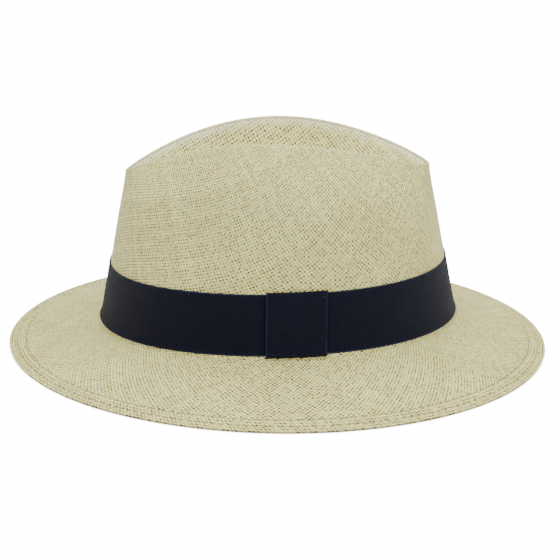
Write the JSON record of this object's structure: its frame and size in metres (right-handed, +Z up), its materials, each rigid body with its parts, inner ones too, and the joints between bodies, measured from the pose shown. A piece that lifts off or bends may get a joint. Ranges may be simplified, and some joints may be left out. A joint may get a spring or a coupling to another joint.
{
  "type": "fedora_hat",
  "caption": "Woven straw fedora with a teardrop crown, pinched front, wide turned-down brim and a dark navy grosgrain ribbon with a flat keeper on the left side.",
  "frame": {"origin": "Centre of the hat's outline, on the plane that the brim's edge rests on.", "axes": "+X to the back of the hat along its length, -Y to the wearer's left where the keeper is, +Z up through the crown."},
  "size_m": [0.3176, 0.2796, 0.1284],
  "materials": {
    "straw": "plain-woven toquilla straw, natural cream with a green cast, satin",
    "grosgrain": "ribbed grosgrain ribbon, dark navy, low sheen",
    "navy_thread": "fine sewing thread, dark navy",
    "band_leather": "thin tan leather, fine grain, satin",
    "reed_plastic": "translucent off-white plastic reed",
    "cotton_tape": "cream woven cotton tape",
    "cream_thread": "cream cotton thread"
  },
  "bodies": {
    "root": {"straw_body": "straw", "hat_ribbon": "grosgrain", "ribbon_keeper": "grosgrain", "ribbon_tacks": "navy_thread", "keeper_tacks": "navy_thread", "sweatband": "band_leather", "sweatband_reed": "reed_plastic", "reed_tape": "cotton_tape", "sweatband_stitches": "cream_thread", "seam_stitches": "cream_thread", "sweatband_bow": "cotton_tape", "size_label": "cotton_tape"}
  },
  "joints": []
}
